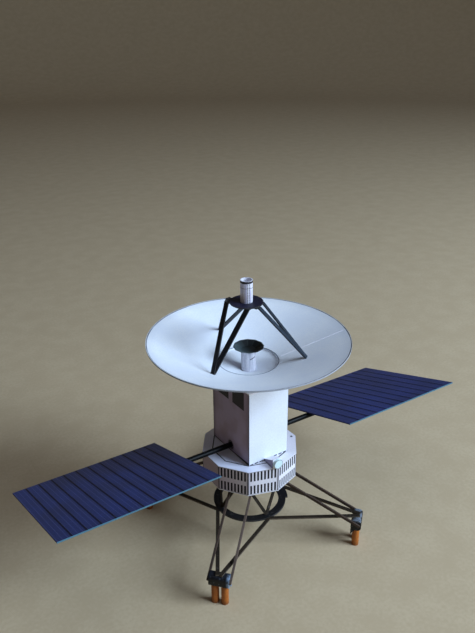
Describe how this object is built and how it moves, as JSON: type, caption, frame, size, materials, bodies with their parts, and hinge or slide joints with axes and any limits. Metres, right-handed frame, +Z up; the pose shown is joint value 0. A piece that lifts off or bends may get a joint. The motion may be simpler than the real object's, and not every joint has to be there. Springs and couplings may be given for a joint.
{
  "type": "card model satellite",
  "caption": "Hand-made card model of a radar mapping satellite: dish antenna on a box tower, ten-sided body, tilting panel pair on a boom, and a strut frame with nozzle pods as feet.",
  "frame": {"origin": "on the floor, under the axis of the ten-sided body and the tower", "axes": "+Z up; the panel boom and the hinge axis lie along X; the face with the sensor looks along -Y"},
  "size_m": [0.18, 0.0786, 0.1127],
  "materials": {
    "wall_card": "matt printed card",
    "deck_card": "matt printed card",
    "tower_card": "matt printed card",
    "grille_card": "matt printed card",
    "sensor_card": "matt printed card",
    "dish_card": "matt printed card",
    "can_card": "matt printed card",
    "funnel_card": "matt printed card",
    "tripod_card": "matt printed card",
    "ring_card": "matt printed card",
    "strut_card": "matt printed card",
    "pod_card": "matt printed card",
    "nozzle_paper": "matt printed card",
    "boom_paper": "matt printed card",
    "panel_card": "matt printed card"
  },
  "bodies": {
    "craft": {"body_wall": "wall_card", "body_deck": "deck_card", "body_floor": "deck_card", "tower": "tower_card", "tower_lid": "tower_card", "grille_left": "grille_card", "grille_right": "grille_card", "sensor_body": "sensor_card", "sensor_drum": "sensor_card", "dish": "dish_card", "dish_centre": "dish_card", "dish_collar": "dish_card", "feed_can": "can_card", "feed_funnel": "funnel_card", "tripod_leg_left": "tripod_card", "tripod_leg_right": "tripod_card", "tripod_leg_back": "tripod_card", "tripod_plate": "tripod_card", "top_can": "can_card", "ring": "ring_card", "brace_right": "strut_card", "brace_back": "strut_card", "brace_left": "strut_card", "brace_front": "strut_card", "beam_back_right_a": "strut_card", "beam_back_right_b": "strut_card", "stay_back_right_a": "strut_card", "stay_back_right_b": "strut_card", "pod_back_right": "pod_card", "nozzles_back_right": "nozzle_paper", "beam_back_left_a": "strut_card", "beam_back_left_b": "strut_card", "stay_back_left_a": "strut_card", "stay_back_left_b": "strut_card", "pod_back_left": "pod_card", "nozzles_back_left": "nozzle_paper", "beam_front_left_a": "strut_card", "beam_front_left_b": "strut_card", "stay_front_left_a": "strut_card", "stay_front_left_b": "strut_card", "pod_front_left": "pod_card", "nozzles_front_left": "nozzle_paper", "beam_front_right_a": "strut_card", "beam_front_right_b": "strut_card", "stay_front_right_a": "strut_card", "stay_front_right_b": "strut_card", "pod_front_right": "pod_card", "nozzles_front_right": "nozzle_paper"},
    "panel_pair": {"boom": "boom_paper", "panel_left": "panel_card", "panel_right": "panel_card"}
  },
  "joints": [
    {"name": "panel_turn", "type": "hinge", "parent": "craft", "child": "panel_pair", "pos_m": [0, 0, 0.0436], "axis": [1, 0, 0], "continuous": true}
  ]
}
